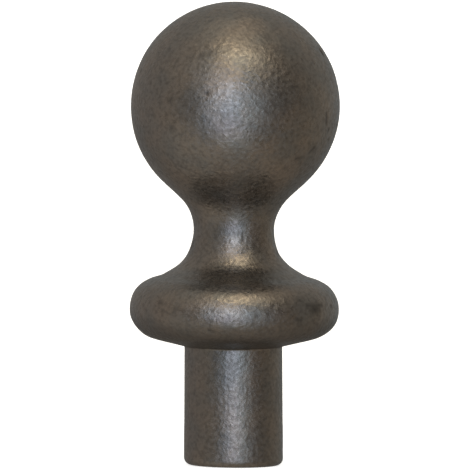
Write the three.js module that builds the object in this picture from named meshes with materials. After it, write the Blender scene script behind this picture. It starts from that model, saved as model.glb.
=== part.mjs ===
// Ball finial for a fence post: a ball on a waisted neck, a rolled collar below it, and a round stem
// that slips into the post's tube. It is one solid casting, so it is one turned profile.
//
// Millimetres, +Z up. The origin is the centre of the stem's flat end, on which the finial stands.

import * as THREE from "three";

// Stem: a plain round spigot, a little wider at its end than under the collar
const STEM_END_DIAMETER = 22.3;
const STEM_TOP_DIAMETER = 22;
const STEM_LENGTH = 26.8; // from the flat end to the corner under the collar
const STEM_END_ROUNDING = 1.6;
const STEM_ROOT_FILLET = 0.4;

// Collar: a half-round roll on a shallow conical underside
const COLLAR_DIAMETER = 47.1;
const COLLAR_ROLL_RADIUS = 7;
const COLLAR_UNDERSIDE_SLOPE = THREE.MathUtils.degToRad(14);

// Neck: two coves that meet at its narrowest place
const NECK_DIAMETER = 18.1;
const LOWER_COVE_RADIUS = 11.1;
const UPPER_COVE_RADIUS = 9.7;

// Ball, and the straight shoulder that runs from it down into the upper cove
const BALL_DIAMETER = 47;
const SHOULDER_LENGTH = 4.8;

// Fineness of the facets: round the axis, and how far an arc's chords may lie inside it
const ROUND_SEGMENTS = 64;
const CHORD_ERROR = 0.04;

const QUARTER_TURN = Math.PI / 2;
const HALF_TURN = Math.PI;

// Points along an arc of the profile, both ends included. Angles are measured from the outward direction.
function arcPoints(centre, radius, startAngle, endAngle) {
  const stepAngle = 2 * Math.acos(1 - CHORD_ERROR / radius);
  const steps = Math.ceil(Math.abs(endAngle - startAngle) / stepAngle);
  return Array.from({ length: steps + 1 }, (_, i) => {
    const angle = THREE.MathUtils.lerp(startAngle, endAngle, i / steps);
    return new THREE.Vector2(centre.x + radius * Math.cos(angle), centre.y + radius * Math.sin(angle));
  });
}

// The arc that rounds a corner between two straight runs of the profile, touching both.
function roundedCorner(before, corner, after, radius) {
  const back = before.clone().sub(corner).normalize();
  const ahead = after.clone().sub(corner).normalize();
  const halfAngle = Math.acos(back.dot(ahead)) / 2;
  const towardsCentre = back.clone().add(ahead).normalize();
  const centre = corner.clone().addScaledVector(towardsCentre, radius / Math.sin(halfAngle));
  const trim = radius / Math.tan(halfAngle);
  const start = corner.clone().addScaledVector(back, trim).sub(centre).angle();
  const end = corner.clone().addScaledVector(ahead, trim).sub(centre).angle();
  const turn = THREE.MathUtils.euclideanModulo(end - start + HALF_TURN, 2 * HALF_TURN) - HALF_TURN;
  return arcPoints(centre, radius, start, start + turn);
}

// The profile from the stem's end to the top of the ball, as (radius, height) points.
// Each part is placed by touching the one below it, so the heights add up from the sizes above.
function finialProfile() {
  // The roll's centre stands where the sloping underside, drawn out from the stem, touches the roll
  const underside = COLLAR_UNDERSIDE_SLOPE;
  const rollCentreRadius = COLLAR_DIAMETER / 2 - COLLAR_ROLL_RADIUS;
  const undersideReach = rollCentreRadius + COLLAR_ROLL_RADIUS * Math.sin(underside) - STEM_TOP_DIAMETER / 2;
  const undersideTop = STEM_LENGTH + undersideReach * Math.tan(underside);
  const roll = new THREE.Vector2(rollCentreRadius, undersideTop + COLLAR_ROLL_RADIUS * Math.cos(underside));

  // The lower cove touches the roll from above
  const neckRadius = NECK_DIAMETER / 2;
  const lowerCoveOffset = neckRadius + LOWER_COVE_RADIUS - roll.x;
  const neckHeight =
    roll.y + Math.sqrt((LOWER_COVE_RADIUS + COLLAR_ROLL_RADIUS) ** 2 - lowerCoveOffset ** 2);
  const lowerCove = new THREE.Vector2(neckRadius + LOWER_COVE_RADIUS, neckHeight);
  const rollEnd = lowerCove.clone().sub(roll).angle();

  // The straight shoulder touches the upper cove at one end and the ball at the other
  const ballRadius = BALL_DIAMETER / 2;
  const upperCove = new THREE.Vector2(neckRadius + UPPER_COVE_RADIUS, neckHeight);
  const centresApart = Math.hypot(ballRadius + UPPER_COVE_RADIUS, SHOULDER_LENGTH);
  const ball = new THREE.Vector2(0, neckHeight + Math.sqrt(centresApart ** 2 - upperCove.x ** 2));
  const towardsCove = Math.atan2(upperCove.y - ball.y, upperCove.x);
  const shoulderAngle = towardsCove + Math.atan2(SHOULDER_LENGTH, ballRadius + UPPER_COVE_RADIUS);

  const endCentre = new THREE.Vector2(0, 0);
  const endCorner = new THREE.Vector2(STEM_END_DIAMETER / 2, 0);
  const rootCorner = new THREE.Vector2(STEM_TOP_DIAMETER / 2, STEM_LENGTH);
  const collarLowerArc = arcPoints(roll, COLLAR_ROLL_RADIUS, underside - QUARTER_TURN, 0);
  const collarUpperArc = arcPoints(roll, COLLAR_ROLL_RADIUS, 0, rollEnd);
  const lowerCoveArc = arcPoints(lowerCove, LOWER_COVE_RADIUS, rollEnd + HALF_TURN, HALF_TURN);
  const upperCoveArc = arcPoints(upperCove, UPPER_COVE_RADIUS, HALF_TURN, shoulderAngle + HALF_TURN);
  const ballArc = arcPoints(ball, ballRadius, shoulderAngle, QUARTER_TURN);

  return [
    endCentre,
    ...roundedCorner(endCentre, endCorner, rootCorner, STEM_END_ROUNDING),
    ...roundedCorner(endCorner, rootCorner, collarLowerArc[0], STEM_ROOT_FILLET),
    ...collarLowerArc,
    ...collarUpperArc.slice(1), // starts at the collar's widest place, where the lower arc ends
    ...lowerCoveArc.slice(1), // starts where the collar ends
    ...upperCoveArc.slice(1), // starts where the lower cove ends
    ...ballArc.slice(0, -1),
    new THREE.Vector2(0, ball.y + ballRadius), // the top of the ball, exactly on the axis
  ];
}

// Raw cast iron: dark brown-grey, with a dull metallic sheen
function castIron() {
  return new THREE.MeshStandardMaterial({ color: 0x5c544c, roughness: 0.5, metalness: 0.9 });
}

// A lathe turns its profile about Y, so the finial is stood up along Z
function ballFinial() {
  const mesh = new THREE.Mesh(new THREE.LatheGeometry(finialProfile(), ROUND_SEGMENTS), castIron());
  mesh.name = "ball_finial";
  mesh.rotation.x = QUARTER_TURN;
  return mesh;
}

const part = new THREE.Group();
part.add(ballFinial());

export default part;
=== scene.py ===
"""Looks of a cast ball finial for a fence post: raw sand-cast iron on a pale studio floor.

Metres, +Z up, in the frame of the CAD model: the origin is the centre of the stem's flat end.
The camera looks along +Y, so the side that it sees is the side towards -Y.
"""

import math
import random

import bpy
import numpy as np
from mathutils import Euler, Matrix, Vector, noise


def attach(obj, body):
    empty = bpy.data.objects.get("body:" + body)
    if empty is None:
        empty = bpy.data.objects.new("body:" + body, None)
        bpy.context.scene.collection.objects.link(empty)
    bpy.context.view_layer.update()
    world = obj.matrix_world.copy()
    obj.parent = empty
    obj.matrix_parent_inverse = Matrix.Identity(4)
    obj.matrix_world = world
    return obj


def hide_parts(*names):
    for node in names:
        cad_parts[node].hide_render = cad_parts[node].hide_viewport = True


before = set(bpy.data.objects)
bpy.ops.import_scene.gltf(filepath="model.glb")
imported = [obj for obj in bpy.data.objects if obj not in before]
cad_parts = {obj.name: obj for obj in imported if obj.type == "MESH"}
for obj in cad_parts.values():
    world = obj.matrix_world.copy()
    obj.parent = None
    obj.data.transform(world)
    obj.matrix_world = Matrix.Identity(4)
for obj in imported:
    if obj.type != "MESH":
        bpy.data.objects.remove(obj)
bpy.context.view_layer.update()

MM = 0.001
TOLERANCE = 1e-7
NODE = "ball_finial"
SEED = 7

# The photograph: a square frame, and the real size of one of its pixels where the finial stands
IMAGE_SIZE = 470
PIXEL = 0.225 * MM
STEM_AXIS_PIXEL = 233.4
FLOOR_PIXEL = 465.7
CAMERA_DISTANCE = 1500 * MM
CAMERA_HEIGHT = 111 * MM
CAMERA_CLIP = (50 * MM, 20000 * MM)
SENSOR_WIDTH = 36.0

# The casting's mesh: columns round the axis, and the longest steps along its outline
COLUMNS = 320
ROW_SPACING = 0.52 * MM
END_ROW_SPACING = 2.2 * MM

# How far the casting strays from a true turned shape
BALL_SHIFT = 0.44 * MM
BALL_TOP_SHIFT = 0.27 * MM
SHOULDER_SHIFT = 0.25 * MM
NECK_SHIFT = 0.1 * MM
COVE_SHIFT = 0.06 * MM
COLLAR_SHIFT = 0.2 * MM
UNDERSIDE_SHIFT = 0.3 * MM
COVE_SINK = 0.16 * MM
COVE_FOOT_SWELL = 0.32 * MM
COLLAR_SHOULDER_SINK = 0.33 * MM
COLLAR_BELLY_SWELL = 0.1 * MM
UNDERSIDE_LIFT = 0.1 * MM
END_TILT = math.radians(0.4)
END_TILT_HEIGHT = 6 * MM
COLLAR_TOP_TILT = math.radians(0.5)
# How far the front hangs lower than the back
COLLAR_LEAN = math.radians(1.3)
COVE_LEAN = math.radians(5)
BALL_LEAN = math.radians(3)
# How far the front goes to the right for its distance from the axis, where the mould's halves met askew
STEM_SKEW = 0.05
NECK_SKEW = 0.07
BALL_SKEW = -0.028

# The skin that the mould's sand leaves, as (width of a lump, height of a lump)
SWELL = (14 * MM, 0.05 * MM)
LUMPS = (4.0 * MM, 0.028 * MM)
SAND = (1.3 * MM, 0.009 * MM)
# Pits open where a noise from -1 to 1 is above PIT_START, and are full deep at PIT_RANGE above that
PIT_SIZE = 1.5 * MM
PIT_DEPTH = 0.03 * MM
PIT_START, PIT_RANGE = 0.3, 0.4
# The skin fades out over this height towards the stem's flat end
SKIN_FADE = 0.8 * MM
# All noise is turned by these angles, because its even grid would show where the surface lies along it
NOISE_TURN = (0.955, 0.785, 0.0)

# Dents and dark spots on the camera's side, and two flat patches of painted shade, as (start, end, radius,
# depth, darkness).
# Start and end are (across, height) in millimetres, and both are the same for a round one.
BALL_MARKS = [
    ((19.4, 93.5), (20.0, 92.6), 0.55, 0.30, 0.9),
    ((-7.3, 92.5), (-6.9, 92.8), 0.8, 0.05, 0.5),
    ((-5.5, 93.2), (-5.4, 93.3), 0.6, 0.05, 0.5),
    ((-5.8, 84.2), (-5.8, 84.4), 0.5, 0.12, 1.0),
    ((-20.7, 88.9), (-20.7, 89.0), 0.5, 0.06, 0.5),
    ((7.3, 97.0), (7.5, 97.0), 0.8, 0.02, 0.4),
    ((8.3, 95.0), (8.4, 95.1), 0.45, 0.06, 0.5),
    ((11.4, 93.4), (11.5, 93.4), 0.45, 0.06, 0.5),
    ((9.1, 88.5), (9.1, 88.6), 0.4, 0.06, 0.5),
    ((13.3, 85.5), (13.3, 85.6), 0.5, 0.04, 0.4),
    ((20.8, 77.3), (20.8, 79.3), 0.45, 0.08, 0.8),
    ((21.2, 75.7), (21.2, 75.9), 0.45, 0.08, 0.8),
    ((21.2, 73.3), (21.2, 73.6), 0.4, 0.06, 0.7),
    ((13.9, 69.5), (15.3, 69.8), 0.4, 0.06, 0.6),
    ((17.0, 70.9), (18.1, 72.1), 0.38, 0.05, 0.6),
    ((9.3, 75.9), (9.3, 76.0), 0.5, 0.04, 0.4),
    ((-14.0, 82.3), (-14.0, 82.5), 0.5, 0.06, 0.5),
    ((-13.8, 76.4), (-13.7, 76.8), 0.6, 0.04, 0.4),
    ((-9.5, 80.3), (-9.5, 81.5), 0.38, 0.05, 0.6),
    ((-2.8, 67.5), (-2.8, 67.6), 0.4, 0.05, 0.5),
    ((-8.4, 63.4), (-8.0, 63.4), 0.6, 0.04, 0.5),
    # Not dents: two broad flat patches of painted shade, which darken the ball on both sides of the window's
    # highlight
    ((-9.7, 82.0), (-9.7, 83.0), 2.5, 0.0, 0.25),
    ((10.7, 82.0), (10.7, 83.0), 2.2, 0.0, 0.3),
]
# Broad low swellings and hollows, in the same form
SWELLINGS = [
    ((21.6, 89.5), (19.3, 94.0), 4.5, -0.17, 0.0),
    ((22.6, 75.5), (20.0, 69.0), 4.5, -0.1, 0.0),
    ((10.5, 58.4), (10.4, 58.3), 2.5, -0.12, 0.0),
    ((-18.6, 68.0), (-15.0, 63.5), 4.0, 0.2, 0.0),
]
COLLAR_MARKS = [
    ((-5.5, 31.6), (-4.4, 31.3), 0.5, 0.12, 0.8),
    ((-4.6, 29.7), (-4.6, 29.8), 0.45, 0.06, 0.6),
    ((-2.3, 29.8), (-2.3, 29.9), 0.4, 0.05, 0.5),
    ((-4.7, 35.9), (-4.7, 36.0), 0.4, 0.05, 0.5),
    ((-10.5, 31.6), (-10.0, 30.2), 0.45, 0.05, 0.5),
    ((-16.6, 37.4), (-15.9, 37.4), 0.45, 0.05, 0.5),
    ((-12.3, 32.7), (-12.3, 32.8), 0.4, 0.05, 0.5),
    ((-9.2, 35.2), (-9.2, 35.3), 0.4, 0.05, 0.4),
    ((-19.2, 33.3), (-19.2, 33.4), 0.5, 0.05, 0.5),
    ((17.9, 35.9), (18.6, 35.9), 1.4, 0.07, 0.85),
    ((16.3, 36.9), (19.7, 36.7), 0.5, 0.06, 0.75),
    ((21.8, 36.3), (22.0, 36.2), 0.5, 0.05, 0.6),
    ((5.4, 34.5), (5.4, 34.6), 0.45, 0.06, 0.5),
    ((7.7, 35.9), (7.9, 33.7), 0.4, 0.03, 0.4),
    ((13.6, 33.9), (15.2, 33.7), 0.4, 0.05, 0.5),
    ((17.7, 33.1), (18.9, 32.2), 0.45, 0.05, 0.5),
    ((9.2, 30.9), (9.3, 30.9), 0.45, 0.05, 0.5),
    ((14.5, 37.9), (14.8, 38.0), 0.45, 0.04, 0.4),
]
NECK_MARKS = [
    ((2.1, 51.0), (2.0, 52.6), 0.35, 0.05, 0.6),
]
# Marks on the sides and the back: how many, and the ranges that their angle (degrees),
# their radius and depth (millimetres) and their darkness are drawn from
HIDDEN_MARKS = 90
HIDDEN_ANGLE = (-15, 195)
HIDDEN_RADIUS = (0.35, 0.8)
HIDDEN_DEPTH = (0.03, 0.12)
HIDDEN_DARKNESS = (0.4, 0.85)
# How long they are, round and up, as the spread of a random draw
HIDDEN_TURN = 0.02
HIDDEN_RISE = 0.5 * MM

# The iron's colours
BROWN = (0.225, 0.195, 0.168, 1)
GREY = (0.182, 0.174, 0.163, 1)
# The dark colour of the dents, spots and grain, also used for the painted shade under the collar and on the
# ball, and for the darker lower stem
SOOT_AND_PAINTED_SHADE = (0.06, 0.055, 0.05, 1)
# How much of the dark colour the collar's underside gets as painted shade, and how much the lower stem gets,
# darker towards its foot
UNDERSIDE_PAINTED_SHADE = 0.6
STEM_DARKNESS = 0.13
# The sizes of the iron's spots and grain, and the height of the grain
BLOTCH_SIZE = 7 * MM
SPECKLE_SIZE = 0.9 * MM
GRAIN_SIZE = 0.75 * MM
CRUMB_SIZE = 1.3 * MM
RELIEF_HEIGHT = 0.1 * MM
METALLIC = 0.93

# The studio's floor, which curves up into a low wall
FLOOR_RADIUS = 2.4
FLOOR_CURVE_RADIUS = 0.8
WALL_HEIGHT = 1.6
FLOOR_COLUMNS = 96
FLOOR_CURVE_STEPS = 12
FLOOR_COLOUR = (0.9, 0.9, 0.9, 1)
FLOOR_GLOW = 0.75

# The room that the iron mirrors: its even colour, and soft glows as (azimuth, elevation, spread, colour).
# Angles are in degrees. Azimuth 0 is the camera's side, and it grows to the right.
ROOM_COLOUR = (0.03, 0.03, 0.03)
GLOWS = {
    "window, low part": (-5, -14, 8, (2.3, 2.3, 3.0)),
    "window, high part": (-5, 14, 8, (4.7, 5.3, 6.4)),
    "beside the window, left": (-22, -2, 9, (0.34, 0.54, 0.74)),
    "beside the window, right": (14, 0, 9, (0.7, 1.1, 1.3)),
    "beside the window, far right": (30, 0, 11, (0.48, 0.42, 0.42)),
    "above the window, left": (-20, 32, 10, (1.3, 1.23, 1.2)),
    "lamp": (3, 56, 9, (4.8, 4.1, 2.9)),
    "lamp's side": (28, 46, 11, (1.25, 1.2, 1.0)),
    "ceiling": (0, 90, 15, (0.95, 0.85, 0.68)),
    "wall, upper left": (-60, 35, 20, (0.4, 0.35, 0.28)),
    "wall, left": (-105, -5, 25, (0.28, 0.25, 0.23)),
    "wall, right": (110, 0, 25, (0.31, 0.27, 0.21)),
    "wall behind, left": (-150, 5, 25, (0.16, 0.16, 0.16)),
    "wall behind, right": (150, 5, 25, (0.14, 0.18, 0.21)),
    "wall behind, high": (180, 35, 22, (0.13, 0.13, 0.12)),
    "wall behind, upper left": (-120, 50, 25, (0.28, 0.27, 0.25)),
    "wall behind, upper right": (120, 50, 25, (0.3, 0.27, 0.23)),
    "table, front": (0, -32, 10, (0.9, 1.1, 1.15)),
    "table, left": (-60, -35, 22, (0.46, 0.44, 0.38)),
    "table, right": (60, -35, 22, (0.25, 0.2, 0.14)),
    "table": (0, -90, 30, (0.54, 0.46, 0.37)),
}
# The operations of the world's nodes that give a number and not a vector
NUMBER_RESULTS = ("DOT_PRODUCT", "MULTIPLY_ADD", "EXPONENT")


def smooth_step(low, high, value):
    """0 below low, 1 above high, and a smooth ramp between them."""
    t = np.clip((value - low) / (high - low), 0, 1)
    return t * t * (3 - 2 * t)


def cad_outline():
    """The solid's outline, as (radius, height) from the middle of the stem's end to the ball's top."""
    points = np.array([vertex.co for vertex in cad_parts[NODE].data.vertices])
    on_the_side = (points[:, 0] > -TOLERANCE) & (np.abs(points[:, 1]) < TOLERANCE)
    # Points that differ only by rounding are one
    outline = np.unique(np.round(points[on_the_side][:, [0, 2]], 8), axis=0)
    return outline[np.lexsort((outline[:, 0], outline[:, 1]))]


def rounded_outline(points):
    """The outline with its chords drawn as curves, in steps of at most ROW_SPACING."""
    steps = np.diff(points, axis=0)
    lengths = np.hypot(*steps.T)
    tangents = np.empty_like(points)
    tangents[1:-1] = (points[2:] - points[:-2]) / (lengths[1:] + lengths[:-1])[:, None]
    tangents[0] = (1, 0)
    tangents[-1] = (-1, 0)
    rows = []
    for start, end, out, into, length in zip(points[:-1], points[1:], tangents[:-1], tangents[1:], lengths):
        spacing = END_ROW_SPACING if end[1] == 0 else ROW_SPACING
        count = max(2, math.ceil(length / spacing))
        for t in np.arange(count) / count:
            share = t * t * (3 - 2 * t)
            pull = (t**3 - 2 * t**2 + t) * out + (t**3 - t**2) * into
            rows.append((1 - share) * start + share * end + pull * length)
    rows.append(points[-1])
    return np.array(rows)


outline = rounded_outline(cad_outline())
radii, heights = outline.T


def widest_between(low, high):
    """The height, between two others, where the outline is furthest from the axis."""
    between = (heights > low) & (heights < high)
    return heights[between][np.argmax(radii[between])]


# Heights that the outline gives
TOP = heights[-1]
COLLAR = widest_between(0, TOP / 2)
BALL = widest_between(TOP / 2, TOP)
waist = (heights > COLLAR) & (heights < BALL)
NECK = heights[waist][np.argmin(radii[waist])]
STEM_RADIUS = radii[heights < COLLAR / 2].max()
STEM_TOP = heights[np.argmax(radii > STEM_RADIUS + 0.5 * MM)]

# How the casting strays at each height. Between the heights given it changes smoothly.
SHIFTS = {
    STEM_TOP: 0,
    (STEM_TOP + COLLAR) / 2: UNDERSIDE_SHIFT,
    COLLAR: COLLAR_SHIFT,
    NECK - 8 * MM: COVE_SHIFT,
    NECK - 5 * MM: 0,
    NECK: NECK_SHIFT,
    (NECK + BALL) / 2 - 6 * MM: SHOULDER_SHIFT,
    BALL: BALL_SHIFT,
    TOP: BALL_TOP_SHIFT,
}
SKEWS = {
    STEM_TOP: STEM_SKEW,
    COLLAR: 0,
    NECK: NECK_SKEW,
    BALL - 14 * MM: 0,
    BALL - 2 * MM: BALL_SKEW,
    BALL + 10 * MM: 0,
}
TILTS = {
    COLLAR: 0,
    COLLAR + 4 * MM: COLLAR_TOP_TILT,
    NECK - 11 * MM: COLLAR_TOP_TILT,
    NECK - 7 * MM: 0,
}
LIFTS = {
    STEM_TOP - 2 * MM: 0,
    STEM_TOP: UNDERSIDE_LIFT,
    STEM_TOP + 2 * MM: UNDERSIDE_LIFT,
    COLLAR - 3 * MM: 0,
}
LEANS = {
    STEM_TOP - 3 * MM: 0,
    STEM_TOP: COLLAR_LEAN,
    COLLAR + 7 * MM: COLLAR_LEAN,
    NECK - 7 * MM: COVE_LEAN,
    NECK + 6 * MM: 0,
    BALL - 18 * MM: 0,
    BALL - 2 * MM: BALL_LEAN,
    BALL + 13 * MM: 0,
}
# Low rings round the outline, as (height of the middle, width, how far it stands out)
RINGS = [
    (NECK - 9.7 * MM, 1 * MM, COVE_FOOT_SWELL),
    (NECK - 6 * MM, 2 * MM, -COVE_SINK),
    (NECK - 11.2 * MM, 1.1 * MM, -COLLAR_SHOULDER_SINK),
    (COLLAR - 2.5 * MM, 2 * MM, COLLAR_BELLY_SWELL),
]


def turned_points():
    """Points and outward directions, in rows round Z, with the two on the axis last."""
    angles = np.arange(COLUMNS) / COLUMNS * math.tau
    slopes = outline[2:] - outline[:-2]
    slopes /= np.hypot(*slopes.T)[:, None]
    rings = outline[1:-1]
    columns = np.stack([np.cos(angles), np.sin(angles)])
    points = [rings[:, :1] * columns[0], rings[:, :1] * columns[1], np.repeat(rings[:, 1:], COLUMNS, axis=1)]
    upward = np.repeat(-slopes[:, :1], COLUMNS, axis=1)
    outward = [slopes[:, 1:] * columns[0], slopes[:, 1:] * columns[1], upward]
    poles = [[0, 0, outline[0, 1]], [0, 0, outline[-1, 1]]]
    return (
        np.vstack([np.stack(points, axis=-1).reshape(-1, 3), poles]),
        np.vstack([np.stack(outward, axis=-1).reshape(-1, 3), [[0, 0, -1], [0, 0, 1]]]),
    )


def turned_faces(ring_count):
    """The faces that join those points into one closed surface."""
    low_pole, high_pole = ring_count * COLUMNS, ring_count * COLUMNS + 1
    column = np.arange(COLUMNS)
    following = (column + 1) % COLUMNS
    faces = []
    for base in range(0, (ring_count - 1) * COLUMNS, COLUMNS):
        quads = [base + column, base + following, base + COLUMNS + following, base + COLUMNS + column]
        faces.extend(np.stack(quads, axis=1).tolist())
    last = (ring_count - 1) * COLUMNS
    faces.extend([low_pole, int(b), int(a)] for a, b in zip(column, following))
    faces.extend([high_pole, last + int(a), last + int(b)] for a, b in zip(column, following))
    return faces


def bell(value, middle, spread):
    """1 at the middle, falling off smoothly on both sides."""
    return np.exp(-(((value - middle) / spread) ** 2))


def by_height(z, values):
    """Values that change smoothly between the heights where they are given."""
    levels, given = np.array(list(values)), np.array(list(values.values()), float)
    below = np.clip(np.searchsorted(levels, z) - 1, 0, len(levels) - 2)
    share = smooth_step(levels[below], levels[below + 1], z)
    return given[below] * (1 - share) + given[below + 1] * share


def strayed(points):
    """The points moved as the casting strays from a true turned shape."""
    x, y, z = points.T
    outward = sum(amount * bell(z, middle, width) for middle, width, amount in RINGS)
    spread = 1 + outward / np.maximum(np.hypot(x, y), MM)
    across = by_height(z, SHIFTS) - by_height(z, SKEWS) * y
    rise = by_height(z, LIFTS) + by_height(z, LEANS) * y - by_height(z, TILTS) * x
    rise += END_TILT * np.maximum(STEM_RADIUS - x, 0) * (1 - smooth_step(0, END_TILT_HEIGHT, z))
    return np.stack([x * spread + across, y * spread, z + rise]).T


def on_the_front(across, height):
    """The place on the casting's front that the camera sees at this distance across and up."""
    x, z = across, height
    # Each round comes closer, and three are enough
    for _ in range(3):
        radius = np.interp(z, heights, radii)
        place = np.array([x, -math.sqrt(max(radius**2 - x**2, 0)), z])
        moved = strayed(place[None])[0]
        x, z = x + across - moved[0], z + height - moved[2]
    return place


def seen_marks():
    """The marks on the camera's side, with their ends on the surface, in metres."""
    for start, end, radius, depth, darkness in BALL_MARKS + SWELLINGS + COLLAR_MARKS + NECK_MARKS:
        ends = [on_the_front(across * MM, height * MM) for across, height in (start, end)]
        yield *ends, radius * MM, depth * MM, darkness


def hidden_marks():
    """Marks like those in front, scattered over the sides and the back."""
    draw = random.Random(SEED)
    for _ in range(HIDDEN_MARKS):
        height = draw.uniform(COLLAR - 6 * MM, TOP - 4 * MM)
        angle = math.radians(draw.uniform(*HIDDEN_ANGLE))
        turn = draw.gauss(0, HIDDEN_TURN)
        rise = draw.gauss(0, HIDDEN_RISE)
        ends = []
        for a, z in ((angle, height), (angle + turn, height + rise)):
            radius = np.interp(z, heights, radii)
            ends.append(np.array([radius * math.cos(a), radius * math.sin(a), z]))
        size = draw.uniform(*HIDDEN_RADIUS) * MM
        depth = draw.uniform(*HIDDEN_DEPTH) * MM
        yield *ends, size, depth, draw.uniform(*HIDDEN_DARKNESS)


def mark_strength(points, start, end, radius):
    """1 on the line between a mark's ends, falling off smoothly past its radius."""
    along = end - start
    share = np.clip((points - start) @ along / max(along @ along, 1e-12), 0, 1)
    distance = np.linalg.norm(points - start - share[:, None] * along, axis=1)
    return np.exp(-((distance / radius) ** 2))


def sand_skin(point):
    """How far the mould's sand moves the surface out at a point."""
    point = Euler(NOISE_TURN).to_matrix() @ point
    swell = SWELL[1] * noise.noise(point / SWELL[0])
    lumps = LUMPS[1] * noise.noise(point / LUMPS[0] + Vector((9, 0, 0)))
    sand = SAND[1] * noise.noise(point / SAND[0] + Vector((0, 9, 0)))
    hollow = noise.noise(point / PIT_SIZE + Vector((0, 0, 9)))
    pit = PIT_DEPTH * min(max((hollow - PIT_START) / PIT_RANGE, 0), 1)
    return swell + lumps + sand - pit


def underside_shade_and_dark_foot(z):
    """How much of the dark colour is painted at a height: painted shade on the collar's underside, and the
    lower stem darker towards its foot.
    """
    low_stem = 1 - smooth_step(STEM_TOP / 2, STEM_TOP, z)
    underside = smooth_step(STEM_TOP - 0.5 * MM, STEM_TOP, z)
    underside *= 1 - smooth_step(STEM_TOP + 2 * MM, COLLAR, z)
    return np.maximum(UNDERSIDE_PAINTED_SHADE * underside, STEM_DARKNESS * low_stem)


def finial_casting():
    """The whole casting as one mesh, with the darkness of its marks, the painted shade under its collar and
    its darker foot kept at its vertices.
    """
    points, outward = turned_points()
    marks = [*seen_marks(), *hidden_marks()]
    height = np.array([sand_skin(Vector(point)) for point in points])
    dark = np.zeros(len(points))
    for start, end, radius, depth, darkness in marks:
        strength = mark_strength(points, start, end, radius)
        height -= depth * strength
        dark = np.maximum(dark, darkness * strength)
    z = points[:, 2]
    # Painted shade under the collar, and the lower stem darker towards its foot
    dark = np.maximum(dark, underside_shade_and_dark_foot(z))
    height *= smooth_step(0, SKIN_FADE, z)
    points = strayed(points + outward * height[:, None])
    points[:, 2] = np.maximum(points[:, 2], 0)

    mesh = bpy.data.meshes.new("finial_casting")
    mesh.from_pydata(points.tolist(), [], turned_faces(len(outline) - 2))
    mesh.shade_smooth()
    mesh.attributes.new("dark", "FLOAT", "POINT").data.foreach_set("value", dark)
    casting = bpy.data.objects.new("finial_casting", mesh)
    bpy.context.scene.collection.objects.link(casting)
    mesh.materials.append(cast_iron())
    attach(casting, "root")
    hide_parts(NODE)
    return casting


class NodeTree:
    """Adds nodes to a material and joins them."""

    def __init__(self, material):
        material.use_nodes = True
        self.nodes = material.node_tree.nodes
        self.links = material.node_tree.links
        self.shader = self.nodes["Principled BSDF"]

    def add(self, kind, inputs=None, **settings):
        """A node with its settings, and with a number, a colour or another node's output on each input."""
        node = self.nodes.new(kind)
        for name, value in settings.items():
            setattr(node, name, value)
        for name, value in (inputs or {}).items():
            self.set(node, name, value)
        return node

    def set(self, node, name, value):
        if isinstance(value, bpy.types.NodeSocket):
            self.links.new(value, node.inputs[name])
        else:
            node.inputs[name].default_value = value

    def noise(self, place, size, detail=2.0, roughness=0.5):
        """Noise from 0 to 1 with lumps of about the given size."""
        inputs = {"Vector": place, "Scale": 1 / size, "Detail": detail, "Roughness": roughness}
        return self.add("ShaderNodeTexNoise", inputs).outputs["Fac"]

    def between(self, value, low, high, new_low, new_high):
        """The value stretched from one range to another, and held inside it."""
        inputs = {"Value": value, "From Min": low, "From Max": high, "To Min": new_low, "To Max": new_high}
        return self.add("ShaderNodeMapRange", inputs).outputs["Result"]

    def mixed(self, share, first, second):
        """A blend of two colours."""
        node = self.add("ShaderNodeMix", data_type="RGBA")
        # A mix node has sockets of the same names for numbers, so the colour ones are taken by their places
        for place, value in zip((0, 6, 7), (share, first, second)):
            self.set(node, place, value)
        return node.outputs[2]

    def sum(self, first, second):
        """Two numbers added."""
        return self.add("ShaderNodeMath", {0: first, 1: second}, operation="ADD").outputs[0]


def cast_iron():
    """Raw cast iron: brown-grey, with sandy grain, faint blotches, dark dents, and the painted shade and
    darker foot kept at the casting's vertices.
    """
    material = bpy.data.materials.new("cast_iron")
    tree = NodeTree(material)
    place = tree.add("ShaderNodeTexCoord").outputs["Object"]
    place = tree.add("ShaderNodeMapping", {"Vector": place, "Rotation": NOISE_TURN}).outputs["Vector"]
    # The vertices' darkness: dents and dark spots, painted shade under the collar and on the ball beside the
    # window's highlight, and the lower stem darker towards its foot
    dark = tree.add("ShaderNodeAttribute", attribute_name="dark").outputs["Fac"]
    blotches = tree.noise(place, BLOTCH_SIZE, detail=3)
    speckle = tree.noise(place, SPECKLE_SIZE, detail=2)
    grain = tree.noise(place, GRAIN_SIZE, detail=2, roughness=0.45)
    crumbs = tree.noise(place, CRUMB_SIZE, detail=0)

    iron = tree.mixed(tree.between(blotches, 0.35, 0.65, 0, 1), BROWN, GREY)
    iron = tree.mixed(tree.between(speckle, 0.42, 0.75, 0, 0.45), iron, SOOT_AND_PAINTED_SHADE)
    iron = tree.mixed(dark, iron, SOOT_AND_PAINTED_SHADE)
    tree.set(tree.shader, "Base Color", iron)

    roughness = tree.between(blotches, 0.3, 0.7, 0.365, 0.395)
    roughness = tree.sum(roughness, tree.between(grain, 0.3, 0.7, 0.11, -0.11))
    roughness = tree.sum(roughness, tree.between(dark, 0, 1, 0, 0.15))
    tree.set(tree.shader, "Roughness", roughness)
    tree.set(tree.shader, "Metallic", METALLIC)

    relief = tree.sum(grain, tree.between(crumbs, 0, 1, 0, 0.6))
    bump = tree.add("ShaderNodeBump", {"Height": relief, "Distance": RELIEF_HEIGHT, "Strength": 1.0})
    tree.set(tree.shader, "Normal", bump.outputs["Normal"])
    return material


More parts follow.
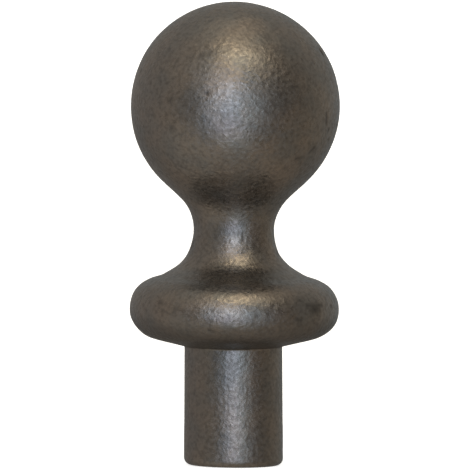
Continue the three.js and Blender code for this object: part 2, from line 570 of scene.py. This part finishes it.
def studio_bowl():
    """A pale floor that curves up all round into a low wall. The iron doesn't mirror it."""
    curve, columns = FLOOR_CURVE_RADIUS, FLOOR_COLUMNS
    flat = FLOOR_RADIUS - curve
    turns = np.linspace(0, math.pi / 2, FLOOR_CURVE_STEPS + 1)
    rings = [(flat + curve * math.sin(turn), curve - curve * math.cos(turn)) for turn in turns]
    rings.append((FLOOR_RADIUS, WALL_HEIGHT))
    angles = np.arange(columns) / columns * math.tau
    vertices = [(0, 0, 0)]
    for r, z in rings:
        vertices += [(r * math.cos(angle), r * math.sin(angle), z) for angle in angles]
    faces = [(0, 1 + i, 1 + (i + 1) % columns) for i in range(columns)]
    for ring in range(len(rings) - 1):
        a, b = 1 + ring * columns, 1 + (ring + 1) * columns
        faces += [(a + i, b + i, b + (i + 1) % columns, a + (i + 1) % columns) for i in range(columns)]
    mesh = bpy.data.meshes.new("studio_bowl")
    mesh.from_pydata(vertices, [], faces)
    mesh.shade_smooth()
    bowl = bpy.data.objects.new("studio_bowl", mesh)
    bpy.context.scene.collection.objects.link(bowl)
    material = bpy.data.materials.new("pale_paper")
    material.use_nodes = True
    shader = material.node_tree.nodes["Principled BSDF"]
    shader.inputs["Base Color"].default_value = FLOOR_COLOUR
    shader.inputs["Roughness"].default_value = 1.0
    shader.inputs["Specular IOR Level"].default_value = 0.0
    shader.inputs["Emission Color"].default_value = (1, 1, 1, 1)
    shader.inputs["Emission Strength"].default_value = FLOOR_GLOW
    mesh.materials.append(material)
    bowl.visible_glossy = False
    bowl.visible_diffuse = False
    bowl.visible_shadow = False
    return bowl


def towards(azimuth, elevation):
    """A direction from the finial. Azimuth 0 is the camera's side, and it grows to the right."""
    a, e = math.radians(azimuth), math.radians(elevation)
    return Vector((math.sin(a) * math.cos(e), -math.cos(a) * math.cos(e), math.sin(e)))


def sharpness(spread):
    """How fast a glow falls off, from its spread in degrees."""
    return 1 / math.radians(spread) ** 2


def surroundings():
    """What the iron mirrors: a dim even room with the soft glows in it."""
    world = bpy.data.worlds.new("room")
    bpy.context.scene.world = world
    world.use_nodes = True
    nodes, links = world.node_tree.nodes, world.node_tree.links
    direction = nodes.new("ShaderNodeTexCoord").outputs["Generated"]

    def combined(operation, *values, kind="ShaderNodeVectorMath"):
        node = nodes.new(kind)
        node.operation = operation
        for socket, value in zip(node.inputs, values):
            if isinstance(value, bpy.types.NodeSocket):
                links.new(value, socket)
            else:
                socket.default_value = value
        return node.outputs["Value"] if operation in NUMBER_RESULTS else node.outputs["Vector"]

    total = None
    for azimuth, elevation, spread, colour in GLOWS.values():
        # 1 in the glow's own direction, and falling off as a bell does with its spread
        facing = combined("DOT_PRODUCT", direction, towards(azimuth, elevation))
        sharp = sharpness(spread)
        narrowed = combined("MULTIPLY_ADD", facing, sharp, -sharp, kind="ShaderNodeMath")
        strength = combined("EXPONENT", narrowed, kind="ShaderNodeMath")
        light = combined("SCALE", colour)
        links.new(strength, light.node.inputs["Scale"])
        total = light if total is None else combined("ADD", total, light)
    links.new(combined("ADD", total, ROOM_COLOUR), nodes["Background"].inputs["Color"])


def camera():
    """Far enough away to see the finial nearly square on, and a little above its middle."""
    data = bpy.data.cameras.new("camera")
    data.sensor_width = SENSOR_WIDTH
    data.lens = SENSOR_WIDTH * CAMERA_DISTANCE / (IMAGE_SIZE * PIXEL)
    data.clip_start, data.clip_end = CAMERA_CLIP
    obj = bpy.data.objects.new("camera", data)
    bpy.context.scene.collection.objects.link(obj)
    middle = IMAGE_SIZE / 2
    looked_at = (FLOOR_PIXEL - middle) * PIXEL
    obj.location = ((middle - STEM_AXIS_PIXEL) * PIXEL, -CAMERA_DISTANCE, CAMERA_HEIGHT)
    obj.rotation_euler.x = math.pi / 2 - math.atan2(CAMERA_HEIGHT - looked_at, CAMERA_DISTANCE)
    bpy.context.scene.camera = obj


finial_casting()
studio_bowl()
surroundings()
camera()
bpy.context.scene.view_settings.view_transform = "Standard"
